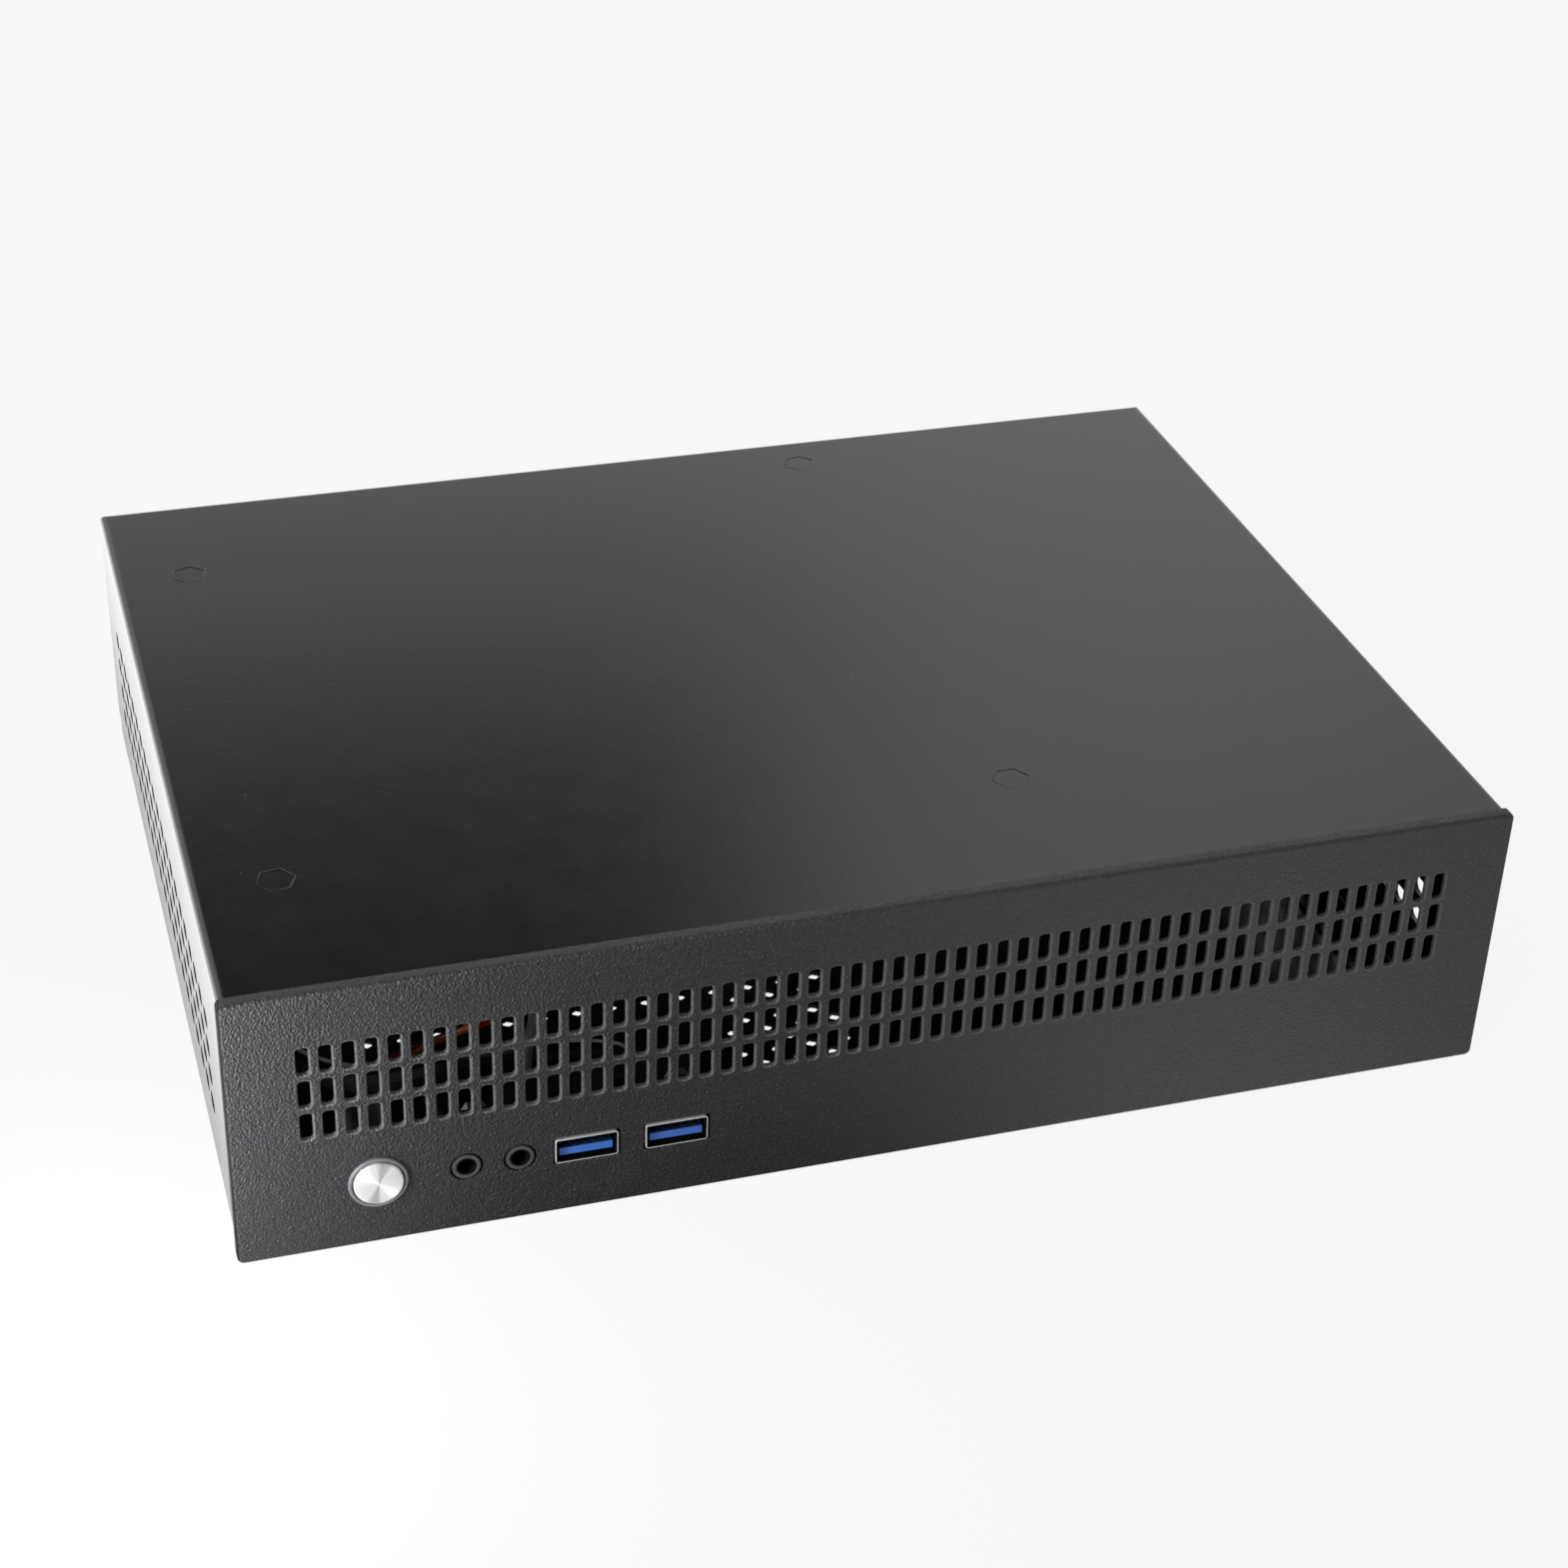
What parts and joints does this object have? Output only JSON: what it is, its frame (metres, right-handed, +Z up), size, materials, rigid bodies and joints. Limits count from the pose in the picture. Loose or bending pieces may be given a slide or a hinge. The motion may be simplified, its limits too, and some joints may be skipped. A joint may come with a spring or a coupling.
{
  "type": "mini-itx computer case",
  "caption": "Slim black sheet-steel computer case with rows of front vent slots, a round power button, two audio sockets and two data sockets.",
  "frame": {"origin": "middle of the footprint, on the surface that the case lies on, cover down as pictured", "axes": "+X left to right along the front panel, +Y from the front panel to the rear wall, +Z up to the board plate"},
  "size_m": [0.274, 0.209, 0.064],
  "materials": {
    "case_black": "satin",
    "panel_black": "textured",
    "zinc_steel": "satin",
    "black_screw": "satin",
    "spun_aluminium": "spun",
    "light_ring": "satin",
    "black_plastic": "matte",
    "contact_gold": "polished",
    "socket_steel": "satin",
    "blue_plastic": "satin",
    "jack_plastic": "satin",
    "board_green": "satin",
    "cable_black": "satin",
    "plug_blue": "matte",
    "cable_grey": "satin",
    "lead_red": "satin",
    "lead_orange": "satin"
  },
  "bodies": {
    "case": {"chassis": "case_black", "cover": "case_black", "front_panel": "panel_black", "front_frame": "zinc_steel", "board_standoffs": "case_black", "cover_screws": "black_screw", "panel_studs": "zinc_steel", "panel_nuts": "zinc_steel", "button_ring": "light_ring", "button_body": "black_plastic", "button_nut": "zinc_steel", "button_spring": "zinc_steel", "button_pins": "contact_gold", "usb_shell_left": "socket_steel", "usb_shell_right": "socket_steel", "usb_tongue_left": "blue_plastic", "usb_tongue_right": "blue_plastic", "usb_contacts": "contact_gold", "audio_jack_left": "jack_plastic", "audio_jack_right": "jack_plastic", "io_board": "board_green", "io_bracket": "zinc_steel", "io_board_screws": "zinc_steel", "cable_blocks": "black_plastic", "usb_cable": "cable_black", "usb_plug": "plug_blue", "audio_cable": "cable_grey", "audio_plug": "black_plastic", "power_leads": "lead_red", "power_plug": "black_plastic", "led_leads": "lead_orange", "led_plug": "black_plastic", "cable_clips": "black_plastic"},
    "button": {"button_cap": "spun_aluminium"}
  },
  "joints": [
    {"name": "button_press", "type": "slide", "parent": "case", "child": "button", "axis": [0, 1, 0], "range_m": [0, 0.0012], "stiffness_N_per_m": 1200, "springref_m": -0.0008, "deforming": ["button_spring"]}
  ]
}
